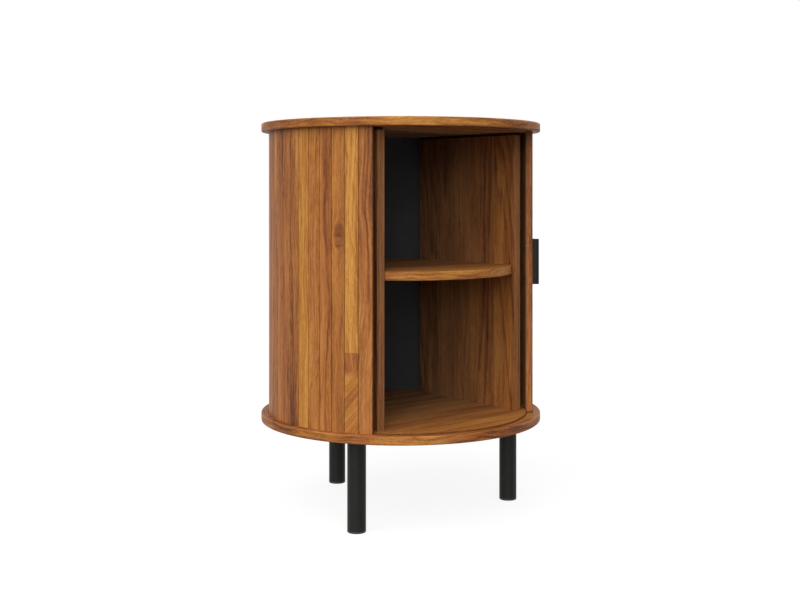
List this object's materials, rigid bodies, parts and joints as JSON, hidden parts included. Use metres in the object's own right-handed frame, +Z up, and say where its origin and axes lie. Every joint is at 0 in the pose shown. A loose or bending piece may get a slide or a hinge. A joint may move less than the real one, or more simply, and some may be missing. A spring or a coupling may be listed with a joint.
{
  "type": "side table",
  "caption": "Round drum side table on tube legs, with a slatted sliding door that runs round the drum and an open-front cabinet with a shelf.",
  "frame": {"origin": "on the floor under the centre of the round top", "axes": "+Z up, -Y towards the front, out of the middle of the doorway, +X to the right as seen from the front"},
  "size_m": [0.3999, 0.4, 0.5465],
  "materials": {
    "walnut_disc": "satin clear lacquer on walnut veneer",
    "walnut_slat": "satin clear lacquer on walnut veneer, grain upright",
    "walnut_inner": "satin clear lacquer on walnut veneer",
    "stained_wood": "wood stained nearly black",
    "beech_dowel": "raw turned wood",
    "black_sheet": "matt black laminate",
    "brown_canvas": "plain brown weave",
    "black_metal": "satin black powder coat",
    "black_plastic": "moulded matt black",
    "black_screw": "black oxide",
    "zinc_screw": "zinc plated"
  },
  "bodies": {
    "cabinet": {"top_panel": "walnut_disc", "base_panel": "walnut_disc", "top_spacers": "stained_wood", "side_panel_left": "walnut_inner", "side_panel_right": "walnut_inner", "shelf": "walnut_inner", "back_liner": "black_sheet", "wall_slats": "walnut_slat", "wall_canvas": "brown_canvas", "shelf_dowels": "beech_dowel", "panel_dowels": "beech_dowel", "leg_front_left": "black_metal", "leg_front_right": "black_metal", "leg_back": "black_metal", "leg_plates": "black_metal", "glide_front_left": "black_plastic", "glide_front_right": "black_plastic", "glide_back": "black_plastic", "leg_screws": "zinc_screw"},
    "door": {"door_slat_01": "walnut_slat", "door_slat_02": "walnut_slat", "door_slat_03": "walnut_slat", "door_slat_04": "walnut_slat", "door_slat_05": "walnut_slat", "door_slat_06": "walnut_slat", "door_slat_07": "walnut_slat", "door_slat_08": "walnut_slat", "door_slat_09": "walnut_slat", "door_slat_10": "walnut_slat", "door_slat_11": "walnut_slat", "door_slat_12": "walnut_slat", "door_slat_13": "walnut_slat", "door_slat_14": "walnut_slat", "door_slat_15": "walnut_slat", "door_slat_16": "walnut_slat", "door_slat_17": "walnut_slat", "door_slat_18": "walnut_slat", "door_slat_19": "walnut_slat", "door_slat_20": "walnut_slat", "door_slat_21": "walnut_slat", "door_slat_22": "walnut_slat", "door_slat_23": "walnut_slat", "door_slat_24": "walnut_slat", "door_slat_25": "walnut_slat", "door_slat_26": "walnut_slat", "door_slat_27": "walnut_slat", "door_slat_28": "walnut_slat", "door_slat_29": "walnut_slat", "door_slat_30": "walnut_slat", "door_slat_31": "walnut_slat", "door_canvas": "brown_canvas", "door_pull": "black_metal", "pull_screws": "black_screw"}
  },
  "joints": [
    {"name": "door_slide_round", "type": "hinge", "parent": "cabinet", "child": "door", "pos_m": [0, 0, 0.3353], "axis": [0, 0, 1], "range_deg": [-95.5, 0]}
  ]
}
